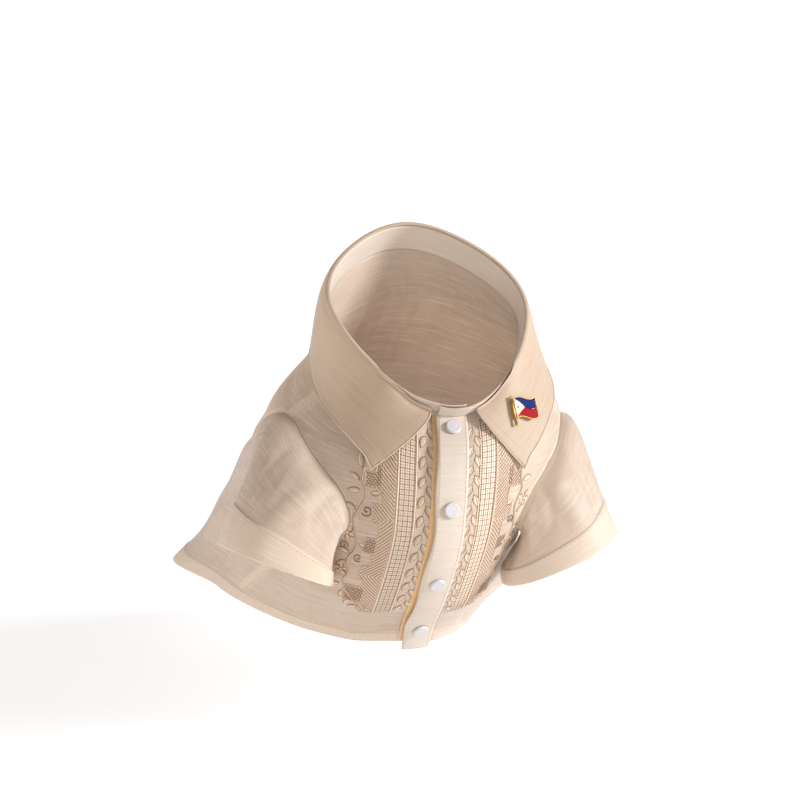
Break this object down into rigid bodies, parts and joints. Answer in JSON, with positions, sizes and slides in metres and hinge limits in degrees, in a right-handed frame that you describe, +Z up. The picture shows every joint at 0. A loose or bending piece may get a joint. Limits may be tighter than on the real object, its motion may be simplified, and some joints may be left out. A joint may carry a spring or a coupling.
{
  "type": "dog barong shirt",
  "caption": "Short-sleeved embroidered shirt for a small dog, with a snap-fastened button band, a pointed collar, set-in sleeves and a flag pin.",
  "frame": {"origin": "middle of the neck opening, where the wearer's neck holds the shirt", "axes": "+X to the wearer's left, -Y to the wearer's chest, +Z up"},
  "size_m": [0.2797, 0.3197, 0.2838],
  "materials": {
    "sheer_cloth": "sheer woven slub, slightly glossy",
    "crisp_cloth": "crisp doubled cloth",
    "snap_plastic": "white",
    "pin_metal": "polished gold",
    "pin_enamel": "enamel in the flag's colours"
  },
  "bodies": {
    "root": {"back": "sheer_cloth", "front_right": "sheer_cloth", "front_left": "sheer_cloth", "sleeve_right": "sheer_cloth", "sleeve_left": "sheer_cloth", "placket_top": "crisp_cloth", "placket_under": "crisp_cloth", "collar_stand": "crisp_cloth", "collar_leaf": "crisp_cloth", "snap_1": "snap_plastic", "snap_2": "snap_plastic", "snap_3": "snap_plastic", "snap_4": "snap_plastic", "pin_pole": "pin_metal", "pin_flag": "pin_enamel"}
  },
  "joints": []
}
